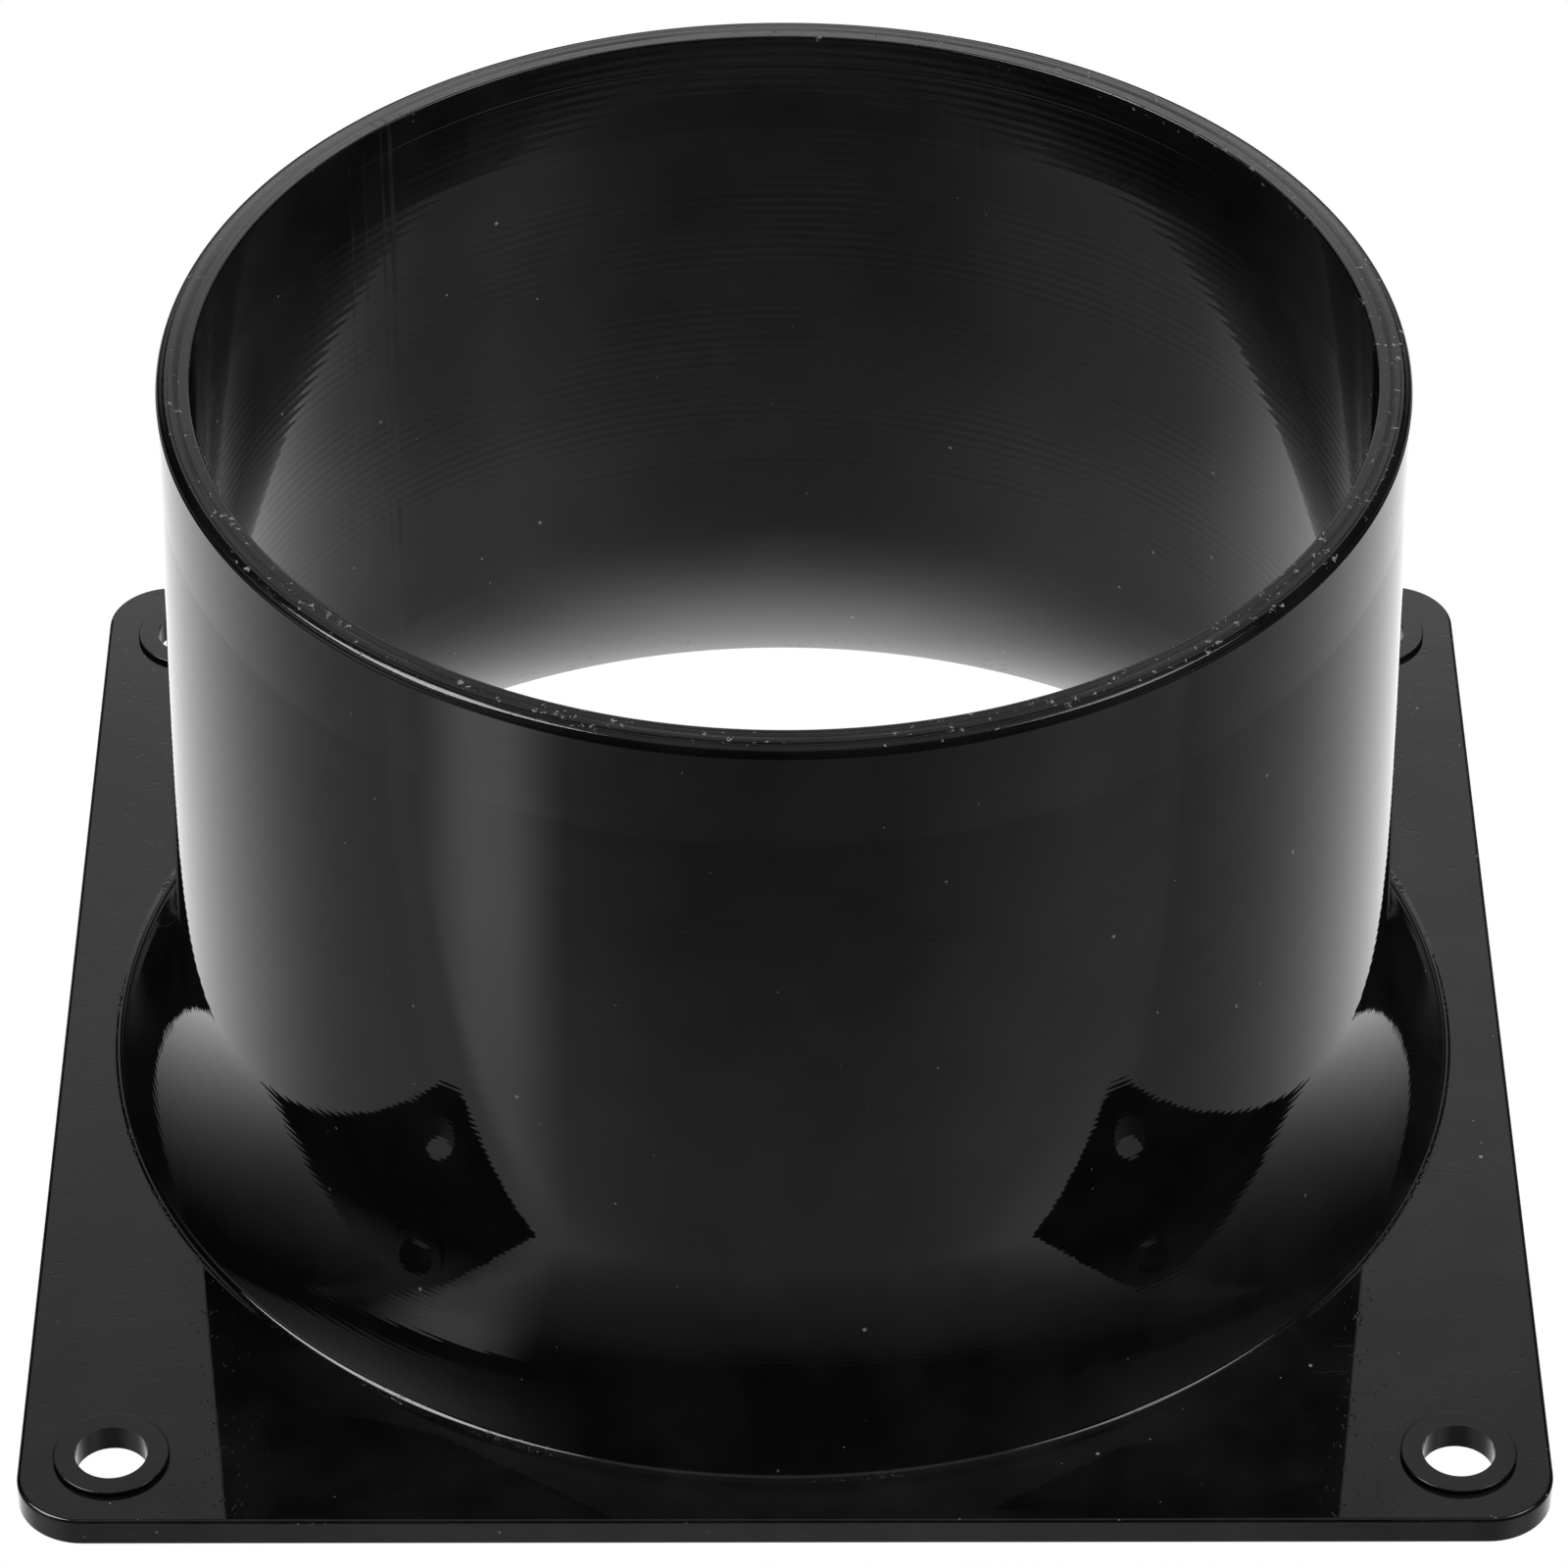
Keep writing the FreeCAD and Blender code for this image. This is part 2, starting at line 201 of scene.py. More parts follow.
# ---------------------------------------------------------------- node helpers
class Nodes:
    """A material's node tree, with short calls to add and wire nodes."""

    def __init__(self, name):
        self.material = bpy.data.materials.new(name)
        self.material.use_nodes = True
        self.tree = self.material.node_tree
        self.tree.nodes.clear()
        self.out = self.tree.nodes.new("ShaderNodeOutputMaterial")

    def add(self, kind, inputs=None, **settings):
        node = self.tree.nodes.new(kind)
        for key, value in settings.items():
            setattr(node, key, value)
        for key, value in (inputs or {}).items():
            self.put(node.inputs[key], value)
        return node

    def put(self, socket, value):
        if isinstance(value, bpy.types.NodeSocket):
            self.tree.links.new(value, socket)
        elif isinstance(value, bpy.types.Node):
            self.tree.links.new(value.outputs[0], socket)
        else:
            socket.default_value = value

    def maths(self, operation, a, b=0.0, clamp=False):
        node = self.add("ShaderNodeMath", operation=operation, use_clamp=clamp)
        self.put(node.inputs[0], a)
        self.put(node.inputs[1], b)
        return node.outputs[0]

    def ramp(self, value, low, high, to_low=0.0, to_high=1.0):
        node = self.add("ShaderNodeMapRange", interpolation_type="SMOOTHSTEP")
        for key, item in (("Value", value), ("From Min", low), ("From Max", high),
                          ("To Min", to_low), ("To Max", to_high)):
            self.put(node.inputs[key], item)
        return node.outputs[0]


# ---------------------------------------------------------------- materials
BLACK_PLASTIC = (0.0145, 0.0145, 0.015)
PLASTIC_DUST = (0.75, 0.75, 0.73)
BLACK_RUBBER = (0.021, 0.0205, 0.02)
RUBBER_DUST = (0.2, 0.2, 0.19)
REFRACTION = 1.5
DUST_ROUGH = 0.6
WHITE = (1, 1, 1, 1)
# radii in millimetres between which a mark fades from the collar's inner face to its outer face
INNER_FACE = (53.0, 53.6)


def blend(n, factor, below, above):
    """Mix two colours, or a colour and what a socket gives."""
    node = n.add("ShaderNodeMix", data_type="RGBA")
    n.put(node.inputs[0], factor)
    n.put(node.inputs[6], below)
    n.put(node.inputs[7], above)
    return node.outputs[2]


class Surface(Nodes):
    """A surface in millimetres: adds up heights, roughness and pale marks before they are wired."""

    def __init__(self, name):
        super().__init__(name)
        here = self.add("ShaderNodeTexCoord").outputs["Object"]
        self.at = self.add("ShaderNodeVectorMath", {0: here, "Scale": 1.0 / MM}, operation="SCALE").outputs[0]
        self.x, self.y, self.z = self.add("ShaderNodeSeparateXYZ", {"Vector": self.at}).outputs
        self.r = self.length(self.x, self.y)
        self.angle = self.maths("ARCTAN2", self.y, self.x)
        self.height = None
        self.rough = None
        self.pale = None

    def length(self, x, y):
        joined = self.add("ShaderNodeCombineXYZ", {"X": x, "Y": y})
        return self.add("ShaderNodeVectorMath", {0: joined}, operation="LENGTH").outputs["Value"]

    def noise(self, size, detail=2.0, vector=None):
        """Soft noise whose features are about size millimetres across."""
        inputs = {"Vector": vector or self.at, "Scale": 1.0 / size, "Detail": detail}
        return self.add("ShaderNodeTexNoise", inputs).outputs[0]

    def along(self, value, size, detail=1.0):
        """Noise that varies along one number only."""
        inputs = {"W": value, "Scale": 1.0 / size, "Detail": detail}
        return self.add("ShaderNodeTexNoise", inputs, noise_dimensions="1D").outputs[0]

    def cells(self, size, vector=None):
        """Millimetres to the nearest of many scattered points, and three numbers drawn for that point."""
        found = self.add("ShaderNodeTexVoronoi", {"Vector": vector or self.at, "Scale": 1.0 / size})
        picks = self.add("ShaderNodeSeparateColor", {"Color": found.outputs["Color"]}).outputs
        return self.times(found.outputs["Distance"], size), picks

    def specks(self, cell, reach):
        """Round dots, one at most in a cell, fading out at reach millimetres."""
        away, picks = self.cells(cell)
        return self.ramp(away, reach * 0.4, reach, 1.0, 0.0), picks

    def stretched(self, turn, length, width, shift):
        """Coordinates for fine marks that run at one angle over the surface."""
        return self.add("ShaderNodeMapping", {"Vector": self.at, "Rotation": (0.0, 0.0, turn),
                                              "Location": (shift, shift * 0.7, shift * 0.3),
                                              "Scale": (1.0 / length, 1.0 / width, 1.0 / length)}).outputs[0]

    def times(self, *factors):
        total = factors[0]
        for factor in factors[1:]:
            total = self.maths("MULTIPLY", total, factor)
        return total

    def centred(self, value, amount):
        """Noise moved to lie about zero and scaled."""
        return self.maths("MULTIPLY", self.maths("SUBTRACT", value, 0.5), amount)

    def gather(self, kind, value, most=False):
        """Add to the height, rough or pale total, or keep the larger of the two."""
        old = getattr(self, kind)
        if old is not None:
            value = self.maths("MAXIMUM" if most else "ADD", old, value)
        setattr(self, kind, value)

    def finish(self, base, mark):
        """Wire the totals: base is the bare colour, mark the colour of dust and scuffs."""
        lighter = tuple(c * 1.5 for c in base) + (1.0,)
        darker = tuple(c * 0.7 for c in base) + (1.0,)
        grain = self.ramp(self.noise(7.0, 3.0), 0.3, 0.7)
        colour = blend(self, grain, darker, lighter)
        colour = blend(self, self.pale, colour, tuple(mark) + (1.0,))
        bump = self.add("ShaderNodeBump", {"Height": self.height, "Distance": MM, "Strength": 1.0})
        rough = self.maths("MAXIMUM", self.rough, self.times(self.pale, DUST_ROUGH))
        shader = self.add("ShaderNodeBsdfPrincipled", {"Base Color": colour, "Roughness": rough,
                                                       "IOR": REFRACTION, "Normal": bump})
        self.put(self.out.inputs["Surface"], shader.outputs[0])
        return self.material


def moulded(s, wave_height):
    """What every face of the glossy plastic shares: gentle waves, orange peel, mottled gloss and dust."""
    wave_size, peel_size, peel_height = 24.0, 2.2, 0.0016
    s.gather("height", s.centred(s.noise(wave_size, 1.0), wave_height))
    s.gather("height", s.centred(s.noise(peel_size, 1.0), peel_height))

    smoothest, dullest, smear = 0.012, 0.034, 0.035
    s.gather("rough", s.ramp(s.noise(9.0, 3.0), 0.35, 0.75, smoothest, dullest))
    handled = s.ramp(s.noise(30.0, 1.0), 0.5, 0.75)
    s.gather("rough", s.times(handled, s.ramp(s.noise(1.1, 2.0), 0.4, 0.8, 0.0, smear)))

    dust_cell, small, large = 2.8, 0.085, 0.26
    away, picks = s.cells(dust_cell)
    size = s.ramp(picks[1], 0.6, 1.0, small, large)
    dots = s.ramp(s.maths("DIVIDE", away, size), 0.4, 1.0, 1.0, 0.0)
    there = s.ramp(picks[0], 0.35, 0.45)
    s.gather("pale", s.times(dots, there))


def turned_rings(s, inside):
    """Fine rings left by the tool: even ripples in patches, broad bands, and one line near the rim."""
    ring_at = s.maths("SUBTRACT", s.z, s.r)
    bands = s.ramp(s.along(ring_at, 5.0), 0.35, 0.65, 0.3, 1.0)
    patches = s.times(bands, s.ramp(s.noise(16.0, 1.0), 0.3, 0.7, 0.3, 1.0))
    pitch_in, pitch_out, height_in, height_out = 1.0, 0.6, 0.003, 0.0009
    turns = s.ramp(s.r, *INNER_FACE, 2 * math.pi / pitch_in, 2 * math.pi / pitch_out)
    phase = s.maths("ADD", s.times(ring_at, turns), s.times(s.noise(6.0, 1.0), 1.4))
    rings = s.times(s.maths("SINE", phase), s.ramp(s.r, *INNER_FACE, height_in, height_out))
    s.gather("height", s.times(rings, patches))

    band_size, band_height = 2.6, 0.004
    s.gather("height", s.centred(s.along(ring_at, band_size), band_height))

    line_at, line_half = 75.2, 0.15
    step = s.times(s.ramp(s.z, line_at - line_half, line_at),
                   s.ramp(s.z, line_at, line_at + line_half, 1.0, 0.0), inside)
    s.gather("height", s.times(step, -0.009))
    s.gather("rough", s.times(step, 0.1))


def drags(s, inside):
    """Upright streaks inside, each at (direction in radians, width, lowest height, strength)."""
    wander = s.centred(s.along(s.z, 14.0), 0.006)
    broken = s.ramp(s.along(s.z, 7.0), 0.35, 0.6, 0.35, 1.0)
    inner_radius, fade_in, depth, rough = 52.0, 8.0, 0.005, 0.45
    for turn, width, low, amount in ((2.335, 0.36, 12.0, 1.0), (2.356, 0.2, 20.0, 0.8),
                                     (2.40, 0.18, 30.0, 0.5), (2.435, 0.2, 30.0, 0.5),
                                     (1.2, 0.2, 45.0, 0.4)):
        off = s.maths("SUBTRACT", s.maths("ADD", s.angle, wander), turn)
        away = s.times(s.maths("ABSOLUTE", off), inner_radius)
        streak = s.ramp(away, width * 0.4, width, amount, 0.0)
        drag = s.times(streak, inside, s.ramp(s.z, low, low + fade_in), broken)
        s.gather("height", s.times(drag, -depth))
        s.gather("rough", s.times(drag, rough))


def cut_rim(s):
    """The rim's cut face: turning lines, a slight outward lean, nicked edges, and crumbs left on it."""
    rim = s.ramp(s.z, 77.4, 77.8)
    worn = s.maths("ADD", s.ramp(s.y, 10.0, -38.0, 0.1, 0.65), s.ramp(s.x, 0.0, 40.0, 0.0, 0.6))
    worn = s.times(worn, s.ramp(s.r, 54.2, 54.5, 1.0, 0.3))
    bend = s.add("ShaderNodeTexNoise", {"Vector": s.at, "Scale": 2.6, "Detail": 1.0}).outputs["Color"]
    bent = s.add("ShaderNodeVectorMath", {0: bend, 1: (1.1, 1.1, 0.5), 2: s.at}, operation="MULTIPLY_ADD")
    away, picks = s.cells(0.8, bent.outputs[0])
    core = s.ramp(picks[0], 0.2, 0.9, 0.064, 0.144)
    reach = s.ramp(picks[0], 0.2, 0.9, 0.12, 0.288)
    dots = s.ramp(away, core, reach, 1.0, 0.0)
    share = s.times(worn, s.ramp(s.noise(9.0, 1.0), 0.3, 0.65, 0.12, 0.75))
    there = s.maths("LESS_THAN", picks[2], share)
    crumbs = s.times(dots, rim, there, s.ramp(s.noise(0.3, 1.0), 0.4, 0.52))
    s.gather("pale", s.times(crumbs, 0.8), most=True)
    s.gather("height", s.times(crumbs, 0.05))

    edges = s.maths("ADD", s.ramp(s.r, 54.0, 54.4), s.ramp(s.r, 52.2, 52.45, 1.0, 0.0))
    s.gather("height", s.times(rim, edges, s.centred(s.noise(0.5, 1.0), 0.006)))
    s.gather("rough", s.times(rim, s.ramp(s.noise(0.7, 2.0), 0.35, 0.7, 0.03, 0.14)))
    s.gather("height", s.times(rim, s.centred(s.along(s.r, 0.6, 2.0), 0.026)))
    lean = 0.15
    s.gather("height", s.times(rim, s.ramp(s.r, 52.0, 55.0, 0.0, -lean)))


def collar_material():
    s = Surface("collar_plastic")
    moulded(s, 0.02)
    inside = s.ramp(s.r, *INNER_FACE, 1.0, 0.0)
    turned_rings(s, inside)
    drags(s, inside)
    cut_rim(s)
    low_down = s.ramp(s.z, 3.1, 2.85)
    grit = s.times(s.ramp(s.noise(0.5, 2.0), 0.5, 0.65), s.ramp(s.noise(8.0, 1.0), 0.4, 0.6))
    s.gather("rough", s.times(low_down, grit, 0.3))
    return s.finish(BLACK_PLASTIC, PLASTIC_DUST)


def plate_material():
    s = Surface("plate_plastic")
    moulded(s, 0.016)
    pits = s.ramp(s.noise(0.8, 1.0), 0.66, 0.72)
    s.gather("height", s.times(pits, -0.003))

    corner_centre = (HALF_SIDE - CORNER_RADIUS) / MM
    past = []
    for value in (s.x, s.y):
        over = s.maths("SUBTRACT", s.maths("ABSOLUTE", value), corner_centre)
        past.append(s.maths("MAXIMUM", over, 0.0))
    reach = s.length(*past)
    edge = s.times(s.ramp(reach, 5.55, 5.8), s.ramp(s.z, 2.2, 2.5))
    s.gather("rough", s.times(edge, s.ramp(s.noise(0.9, 3.0), 0.4, 0.7, 0.01, 0.18)))
    s.gather("height", s.times(edge, s.centred(s.noise(0.8, 1.0), 0.008)))
    dots, picks = s.specks(1.6, 0.16)
    outer = s.maths("MAXIMUM", edge, s.times(s.ramp(reach, 5.8, 5.95), 0.8))
    s.gather("pale", s.times(dots, outer, s.ramp(picks[2], 0.5, 0.6), 0.6), most=True)

    for turn, length, width, shift, low in ((0.9, 2.6, 0.2, 11.0, 0.7), (2.3, 1.8, 0.16, 47.0, 0.69)):
        marks = s.noise(1.0, 1.0, s.stretched(turn, length, width, shift))
        scratch = s.times(s.ramp(marks, low, low + 0.05), s.ramp(s.noise(14.0, 1.0), 0.45, 0.6))
        s.gather("height", s.times(scratch, -0.003))
        s.gather("rough", s.times(scratch, 0.15))
        s.gather("pale", s.times(scratch, 0.012))

    side = s.ramp(reach, 5.9, 5.97)
    s.gather("height", s.times(side, s.centred(s.noise(0.6, 1.0), 0.012)))
    s.gather("rough", s.times(side, s.ramp(s.noise(2.5, 2.0), 0.35, 0.7, 0.05, 0.2)))

    by_collar = s.ramp(s.r, 63.0, 62.2)
    grit = s.times(s.ramp(s.noise(0.5, 2.0), 0.5, 0.62), s.ramp(s.noise(8.0, 1.0), 0.42, 0.6))
    foot = s.times(by_collar, grit)
    s.gather("height", s.times(foot, 0.03))
    s.gather("height", s.ramp(s.r, 62.7, 62.1, 0.0, 0.04))
    s.gather("rough", s.times(foot, 0.4))
    return s.finish(BLACK_PLASTIC, PLASTIC_DUST)


def rubber_material():
    s = Surface("seal_rubber")
    s.gather("height", s.centred(s.noise(0.3, 3.0), 0.01))
    s.gather("height", s.centred(s.along(s.r, 0.35, 1.0), 0.006))
    s.gather("rough", s.ramp(s.noise(3.0, 3.0), 0.3, 0.7, 0.5, 0.72))
    dots, _ = s.specks(1.1, 0.1)
    s.gather("pale", s.times(dots, 0.35))
    return s.finish(BLACK_RUBBER, RUBBER_DUST)


plate_plastic = plate_material()
collar_plastic = collar_material()
seal_rubber = rubber_material()

# ---------------------------------------------------------------- collar
shell = Shell()
lathe(shell, collar_runs(), ROUND_STEPS)
collar = shell.build("collar_skin", collar_plastic, "collar_plastic")
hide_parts("flared_collar")


# ---------------------------------------------------------------- plate
def outline(inset, steps=16):
    """Points and outward directions round the plate's outline, moved in by inset."""
    ring = []
    centre = HALF_SIDE - CORNER_RADIUS
    for quarter, (sx, sy) in enumerate(((1, 1), (-1, 1), (-1, -1), (1, -1))):
        for i in range(steps + 1):
            a = math.pi / 2 * (quarter + i / steps)
            d = (math.cos(a), math.sin(a))
            reach = CORNER_RADIUS - inset
            ring.append(((sx * centre + reach * d[0], sy * centre + reach * d[1]), d))
    return ring


def skirt(shell, levels):
    """Strips round the outline between levels of (inset, z, normal out, normal up), going up."""
    rings = [outline(level[0]) for level in levels]
    count = len(rings[0])
    for low, high, under, over in zip(rings, rings[1:], levels, levels[1:]):
        for k in range(count):
            m = (k + 1) % count
            corners, normals = [], []
            for ring, level, j in ((low, under, k), (low, under, m), (high, over, m), (high, over, k)):
                (x, y), (dx, dy) = ring[j]
                corners.append((x, y, level[1]))
                normals.append((dx * level[2], dy * level[2], level[3]))
            shell.face(corners, normals)


def sheet_with_holes(shell, loops, z, up):
    """A flat face at z between closed loops of points, as triangles."""
    bm = bmesh.new()
    edges = []
    for loop in loops:
        verts = [bm.verts.new((x, y, z)) for x, y in loop]
        for a, b in zip(verts, verts[1:] + verts[:1]):
            edges.append(bm.edges.new((a, b)))
    bmesh.ops.triangle_fill(bm, use_beauty=True, use_dissolve=False, edges=edges, normal=(0, 0, up))
    for face in bm.faces:
        corners = [tuple(v.co) for v in face.verts]
        if face.normal.z * up < 0:
            corners.reverse()
        shell.face(corners, [(0, 0, up)] * len(corners))
    bm.free()


def circle(radius, steps, centre=(0, 0)):
    return [(centre[0] + radius * math.cos(2 * math.pi * k / steps),
             centre[1] + radius * math.sin(2 * math.pi * k / steps)) for k in range(steps)]


def plate_levels():
    """Levels for skirt() round the plate's outline, from its lower edge to its upper edge."""
    levels = []
    for i in range(5):
        a = math.pi / 2 * i / 4
        levels.append((UNDER_ROUND * (1 - math.sin(a)), UNDER_ROUND * (1 - math.cos(a)),
                       math.sin(a), -math.cos(a)))
    for i in range(9):
        a = math.pi / 2 * i / 8
        levels.append((EDGE_ROUND * (1 - math.cos(a)), PLATE_TOP - EDGE_ROUND * (1 - math.sin(a)),
                       math.cos(a), math.sin(a)))
    return levels


shell = Shell()
skirt(shell, plate_levels())
opening = circle(JOINT_RADIUS, ROUND_STEPS)
rebate = circle(SEAL_RADIUS, ROUND_STEPS)
sheet_with_holes(shell, [[p for p, _ in outline(EDGE_ROUND)], opening]
                 + [circle(BOSS_RADIUS, BOSS_STEPS, hole) for hole in HOLES], PLATE_TOP, 1)
sheet_with_holes(shell, [[p for p, _ in outline(UNDER_ROUND)], rebate]
                 + [circle(RELIEF_RADIUS, BOSS_STEPS, hole) for hole in HOLES], 0, -1)
for hole in HOLES:
    runs = [line((BOSS_RADIUS, PLATE_TOP), (BOSS_RADIUS, BOSS_TOP - BOSS_ROUND), 1),
            arc((BOSS_RADIUS - BOSS_ROUND, BOSS_TOP - BOSS_ROUND), BOSS_ROUND, 0, math.pi / 2, 5),
            line((BOSS_RADIUS - BOSS_ROUND, BOSS_TOP), (HOLE_RADIUS, BOSS_TOP), 1),
            line((HOLE_RADIUS, BOSS_TOP), (HOLE_RADIUS, RELIEF_DEPTH), 2),
            line((HOLE_RADIUS, RELIEF_DEPTH), (RELIEF_RADIUS, RELIEF_DEPTH), 1),
            line((RELIEF_RADIUS, RELIEF_DEPTH), (RELIEF_RADIUS, 0), 1)]
    lathe(shell, runs, BOSS_STEPS, hole)
lathe(shell, [line((JOINT_RADIUS, PLATE_TOP), (JOINT_RADIUS, SEAL_TOP), 1),
              line((JOINT_RADIUS, SEAL_TOP), (SEAL_RADIUS, SEAL_TOP), 1),
              line((SEAL_RADIUS, SEAL_TOP), (SEAL_RADIUS, 0), 1)], ROUND_STEPS)
plate = shell.build("plate_skin", plate_plastic, "plate_plastic")
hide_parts("base_plate")

# ---------------------------------------------------------------- seal ring
shell = Shell()
lathe(shell, [line((JOINT_RADIUS, 0), (SEAL_RADIUS, 0), 3),
              line((SEAL_RADIUS, 0), (SEAL_RADIUS, SEAL_TOP), 2),
              line((SEAL_RADIUS, SEAL_TOP), (JOINT_RADIUS, SEAL_TOP), 3),
              line((JOINT_RADIUS, SEAL_TOP), (JOINT_RADIUS, 0), 2)], ROUND_STEPS)
seal = shell.build("seal_skin", seal_rubber, "seal_rubber")
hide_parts("seal_ring")

# ---------------------------------------------------------------- camera
camera_data = bpy.data.cameras.new("camera")
camera = bpy.data.objects.new("camera", camera_data)
bpy.context.scene.collection.objects.link(camera)
CAMERA_AT = Vector((-2.197, -536.86, 460.29)) * MM
CAMERA_YAW, CAMERA_PITCH, CAMERA_ROLL = 0.0042, 0.6746, 0.0015
FOCAL_PIXELS, IMAGE_PIXELS, SENSOR_WIDTH = 7662.8, 1600, 36
level = math.cos(CAMERA_PITCH)
forward = Vector((math.sin(CAMERA_YAW) * level, math.cos(CAMERA_YAW) * level, -math.sin(CAMERA_PITCH)))
right = forward.cross(Vector((0, 0, 1))).normalized()
up = right.cross(forward)
right, up = (math.cos(CAMERA_ROLL) * right + math.sin(CAMERA_ROLL) * up,
             math.cos(CAMERA_ROLL) * up - math.sin(CAMERA_ROLL) * right)
turned = Matrix((right, up, -forward)).transposed().to_4x4()
camera.matrix_world = Matrix.Translation(CAMERA_AT) @ turned
camera_data.lens = FOCAL_PIXELS / IMAGE_PIXELS * SENSOR_WIDTH
camera_data.sensor_width = SENSOR_WIDTH
camera_data.clip_start = 0.01
camera_data.clip_end = 50
bpy.context.scene.camera = camera
bpy.context.scene.view_settings.view_transform = "Standard"


# ---------------------------------------------------------------- stage
FLOOR_REACH, FLOOR_DROP = 6.0, 0.0004
NEAR_REACH, NEAR_DROP = 0.2, 0.0002
PLATE_EDGE = 0.075
BACK_SIDE, BACK_AWAY, BACK_LOW, BACK_HIGH = 0.3, 0.9, 0.45, 1.1


def panel(name, corners, material, seen=False):
    """A flat stage piece: the camera either sees it alone, or only light and reflections come from it."""
    mesh = bpy.data.meshes.new(name)
    mesh.from_pydata(corners, [], [(0, 1, 2, 3)])
    mesh.materials.append(material)
    obj = bpy.data.objects.new(name, mesh)
    bpy.context.scene.collection.objects.link(obj)
    obj.visible_camera = seen
    for kind in ("visible_diffuse", "visible_glossy", "visible_transmission", "visible_shadow"):
        setattr(obj, kind, not seen)
    return obj


def flat(reach, z):
    return [(-reach, -reach, z), (reach, -reach, z), (reach, reach, z), (-reach, reach, z)]


def glowing(n, strength):
    """A node tree's output as plain white light."""
    return n.add("ShaderNodeEmission", {"Color": WHITE, "Strength": strength}).outputs[0]


def white():
    n = Nodes("floor_white")
    n.put(n.out.inputs["Surface"], glowing(n, 1.0))
    return n.material


def painted_floor_light():
    """Painted light on the floor close by, which only the plastic reflects: a sheen before the plate, a wedge
    at its left, a glow in the tube.
    """
    n = Nodes("floor_painted_light")
    at = n.add("ShaderNodeNewGeometry").outputs["Position"]
    x, y, _ = n.add("ShaderNodeSeparateXYZ", {"Vector": at}).outputs
    aside = n.maths("ABSOLUTE", x)
    reach = n.add("ShaderNodeVectorMath", {0: at}, operation="LENGTH").outputs["Value"]
    outside = n.maths("GREATER_THAN", reach, PLATE_EDGE)

    # painted light: a sheen on the floor before the plate
    sheen = n.maths("ADD", n.ramp(y, -0.14, -0.085, 0.0, 0.12), n.ramp(y, -0.08, -0.069, 0.0, 0.14))
    sheen = n.maths("MULTIPLY", sheen, n.ramp(aside, 0.03, PLATE_EDGE, 1.0, 0.25))
    sheen = n.maths("MULTIPLY", sheen, n.ramp(y, -0.066, -0.060, 1.0, 0.0))

    # painted light: a wedge of glow on the floor at the plate's left
    apex_x, apex_y, wedge_turn = -0.005, -0.038, math.radians(56.5)
    angle = n.maths("ARCTAN2", n.maths("ADD", x, -apex_x), n.maths("SUBTRACT", apex_y, y))
    away = n.maths("ABSOLUTE", n.maths("ADD", angle, wedge_turn))
    wedge = n.maths("MULTIPLY", n.ramp(away, math.radians(1.5), math.radians(16.5), 0.8, 0.0),
                    n.ramp(reach, 0.085, 0.135, 0.5, 1.0))
    wedge = n.maths("MULTIPLY", n.maths("MULTIPLY", wedge, outside), n.ramp(y, -0.070, -0.076, 0.0, 1.0))

    # painted light: a soft glow on the floor inside the tube
    tube = n.maths("MULTIPLY", n.ramp(aside, 0.004, 0.024, 1.0, 0.0), n.ramp(y, -0.06, 0.03, 0.0, 0.15))
    tube = n.maths("MULTIPLY", tube, n.maths("SUBTRACT", 1.0, outside))

    total = n.maths("ADD", n.maths("ADD", sheen, wedge), tube)
    clear = n.add("ShaderNodeBsdfTransparent").outputs[0]
    both = n.add("ShaderNodeAddShader", {0: glowing(n, total), 1: clear})
    n.put(n.out.inputs["Surface"], both)
    return n.material


def back_light():
    """The softbox behind is brightest low down."""
    n = Nodes("back_light")
    at = n.add("ShaderNodeNewGeometry").outputs["Position"]
    z = n.add("ShaderNodeSeparateXYZ", {"Vector": at}).outputs["Z"]
    total = n.maths("MULTIPLY", n.ramp(z, 0.55, 0.70, 1.55, 0.80), n.ramp(z, 0.70, 1.0, 1.0, 0.55))
    n.put(n.out.inputs["Surface"], glowing(n, total))
    return n.material


def soft_square(name, centre, side, strength):
    """A square softbox that faces the object and counts only in a ray's first bounce."""
    n = Nodes(name)
    once = n.maths("LESS_THAN", n.add("ShaderNodeLightPath").outputs["Ray Depth"], 1.5)
    n.put(n.out.inputs["Surface"], glowing(n, n.maths("MULTIPLY", once, strength)))
    middle = Vector(centre)
    towards = -middle.normalized()
    sideways = towards.cross(Vector((0, 0, 1))).normalized() * side / 2
    upwards = sideways.cross(towards).normalized() * side / 2
    corners = [middle - sideways - upwards, middle + sideways - upwards,
               middle + sideways + upwards, middle - sideways + upwards]
    return panel(name, [tuple(c) for c in corners], n.material)


panel("floor", flat(FLOOR_REACH, -FLOOR_DROP), white(), seen=True)
# a floor panel that glows with painted light, seen only in reflections
panel("floor_painted_light", flat(NEAR_REACH, -NEAR_DROP), painted_floor_light())
panel("back_softbox", [(-BACK_SIDE, BACK_AWAY, BACK_LOW), (BACK_SIDE, BACK_AWAY, BACK_LOW),
                       (BACK_SIDE, BACK_AWAY, BACK_HIGH), (-BACK_SIDE, BACK_AWAY, BACK_HIGH)], back_light())
left_softbox = soft_square("left_softbox", (-0.63, -0.07, 0.9), 0.6, 9.9)
left_softbox.visible_diffuse = False
soft_square("right_softbox", (0.6, -0.1, 0.9), 0.42, 4.5)


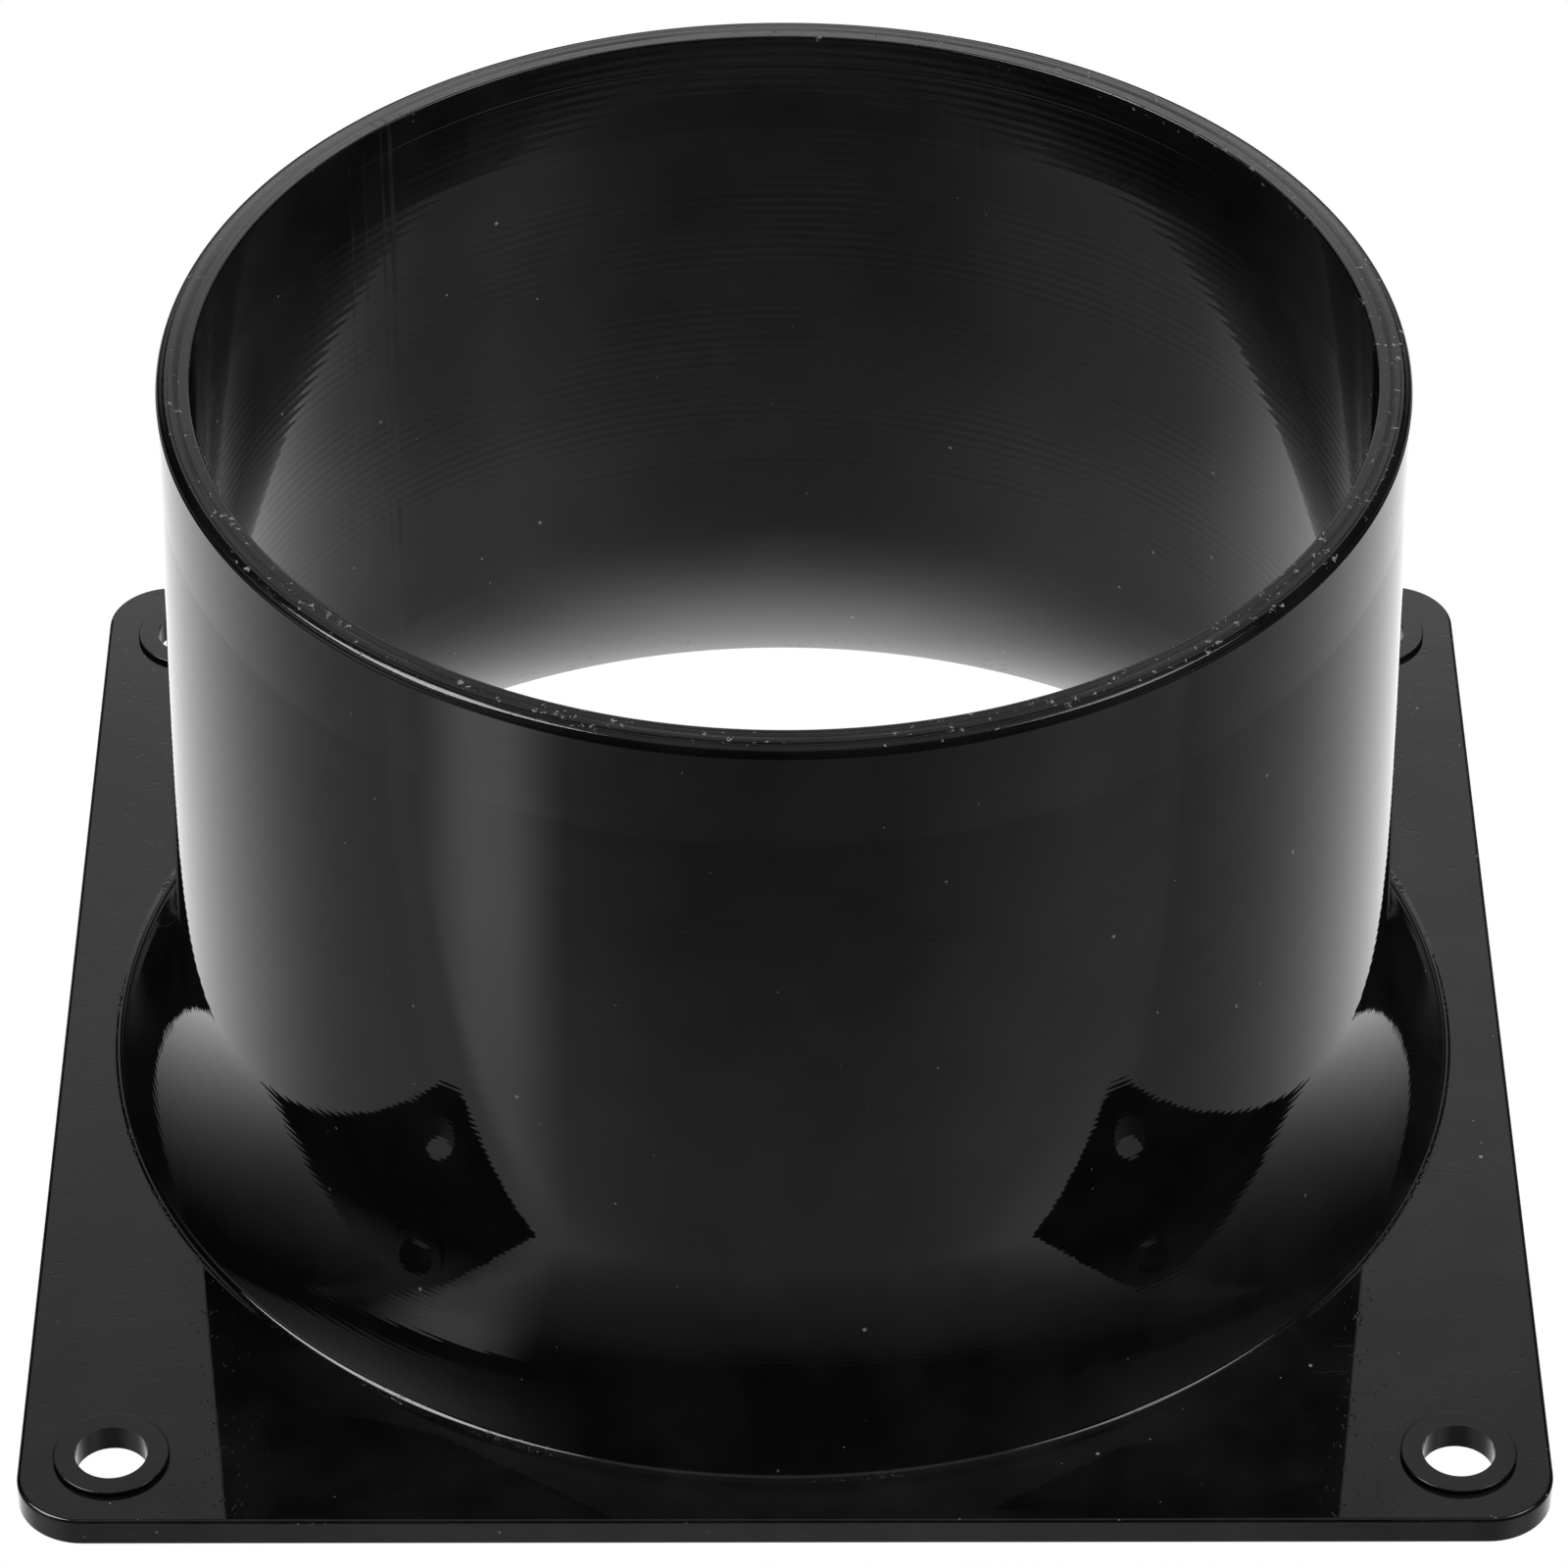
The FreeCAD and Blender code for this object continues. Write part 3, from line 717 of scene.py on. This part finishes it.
class Sky(Nodes):
    """Light from the room by direction: the azimuth from the front, and the degrees below the horizon.

    The camera itself sees plain white.
    """

    def __init__(self, name):
        self.world = bpy.data.worlds.new(name)
        self.world.use_nodes = True
        self.tree = self.world.node_tree
        self.tree.nodes.clear()
        self.out = self.tree.nodes.new("ShaderNodeOutputWorld")

    def sweep(self, value, low, high, to_low=0.0, to_high=1.0):
        """A ramp between two angles given in degrees."""
        return self.ramp(value, math.radians(low), math.radians(high), to_low, to_high)

    def lobe(self, angle, middle, half, strength):
        away = self.maths("ABSOLUTE", self.maths("SUBTRACT", angle, math.radians(middle)))
        return self.sweep(away, 0.0, half, strength, 0.0)

    def product(self, *factors):
        total = factors[0]
        for factor in factors[1:]:
            total = self.maths("MULTIPLY", total, factor)
        return total

    def total(self, *parts):
        total = parts[0]
        for part in parts[1:]:
            total = self.maths("ADD", total, part)
        return total

    def below(self, angle, turn, down, z):
        """The pale sweep under the horizon: bright behind and straight down, dim in front."""
        side = self.total(self.sweep(turn, 15, 60, 0.16, 0.38), self.sweep(turn, 88, 162, 0.0, 1.02),
                          self.lobe(angle, 76, 20, -0.09), self.lobe(angle, -118, 40, 0.1))
        starts, spans = math.radians(3), math.radians(36)
        grade = self.maths("DIVIDE", self.maths("SUBTRACT", down, starts), spans, clamp=True)
        grade = self.maths("POWER", grade, self.sweep(turn, 15, 80, 2.2, 1.3))
        steep_from, nadir = 0.63, 1.5
        drop = self.maths("SUBTRACT", self.maths("MULTIPLY", z, -1.0), steep_from)
        steep = self.maths("DIVIDE", drop, 1.0 - steep_from, clamp=True)
        steep = self.maths("POWER", steep, 2.6)
        lit = self.product(side, grade, self.maths("SUBTRACT", 1.0, steep))
        return self.total(lit, self.maths("MULTIPLY", steep, nadir))

    def flanks(self, angle, down):
        """Light low over the horizon, strong at the left and faint at the right."""
        rise = self.total(self.sweep(down, -1.5, -3.5, 0.0, 0.25), self.sweep(down, -3, -17, 0.0, 0.75))
        sides = self.total(self.lobe(angle, -76, 46, 0.75), self.lobe(angle, 68, 42, 0.2))
        return self.product(rise, self.sweep(down, -22, -31, 1.0, 0.05), sides)

    def behind(self, turn, down):
        """Light low over the horizon behind the object."""
        return self.product(self.sweep(turn, 134, 160, 0.0, 0.62), self.sweep(down, -3, -14),
                         self.sweep(down, -22, -28, 1.0, 0.0))

    def build(self):
        toward = self.add("ShaderNodeTexCoord").outputs["Generated"]
        x, y, z = self.add("ShaderNodeSeparateXYZ", {"Vector": toward}).outputs
        angle = self.maths("ARCTAN2", x, self.maths("MULTIPLY", y, -1.0))
        turn = self.maths("ABSOLUTE", angle)
        down = self.maths("MULTIPLY", self.maths("ARCSINE", z), -1.0)
        ambient = 0.008
        overhead = self.sweep(down, -48, -70, 0.0, 0.38)
        lit = self.total(self.below(angle, turn, down, z), ambient, self.flanks(angle, down),
                         self.behind(turn, down), overhead)
        dim = self.add("ShaderNodeBackground", {"Color": WHITE, "Strength": lit})
        pale = self.add("ShaderNodeBackground", {"Color": WHITE})
        seen = self.add("ShaderNodeLightPath").outputs["Is Camera Ray"]
        mix = self.add("ShaderNodeMixShader", {0: seen, 1: dim.outputs[0], 2: pale.outputs[0]})
        self.put(self.out.inputs[0], mix)
        return self.world


bpy.context.scene.world = Sky("studio").build()
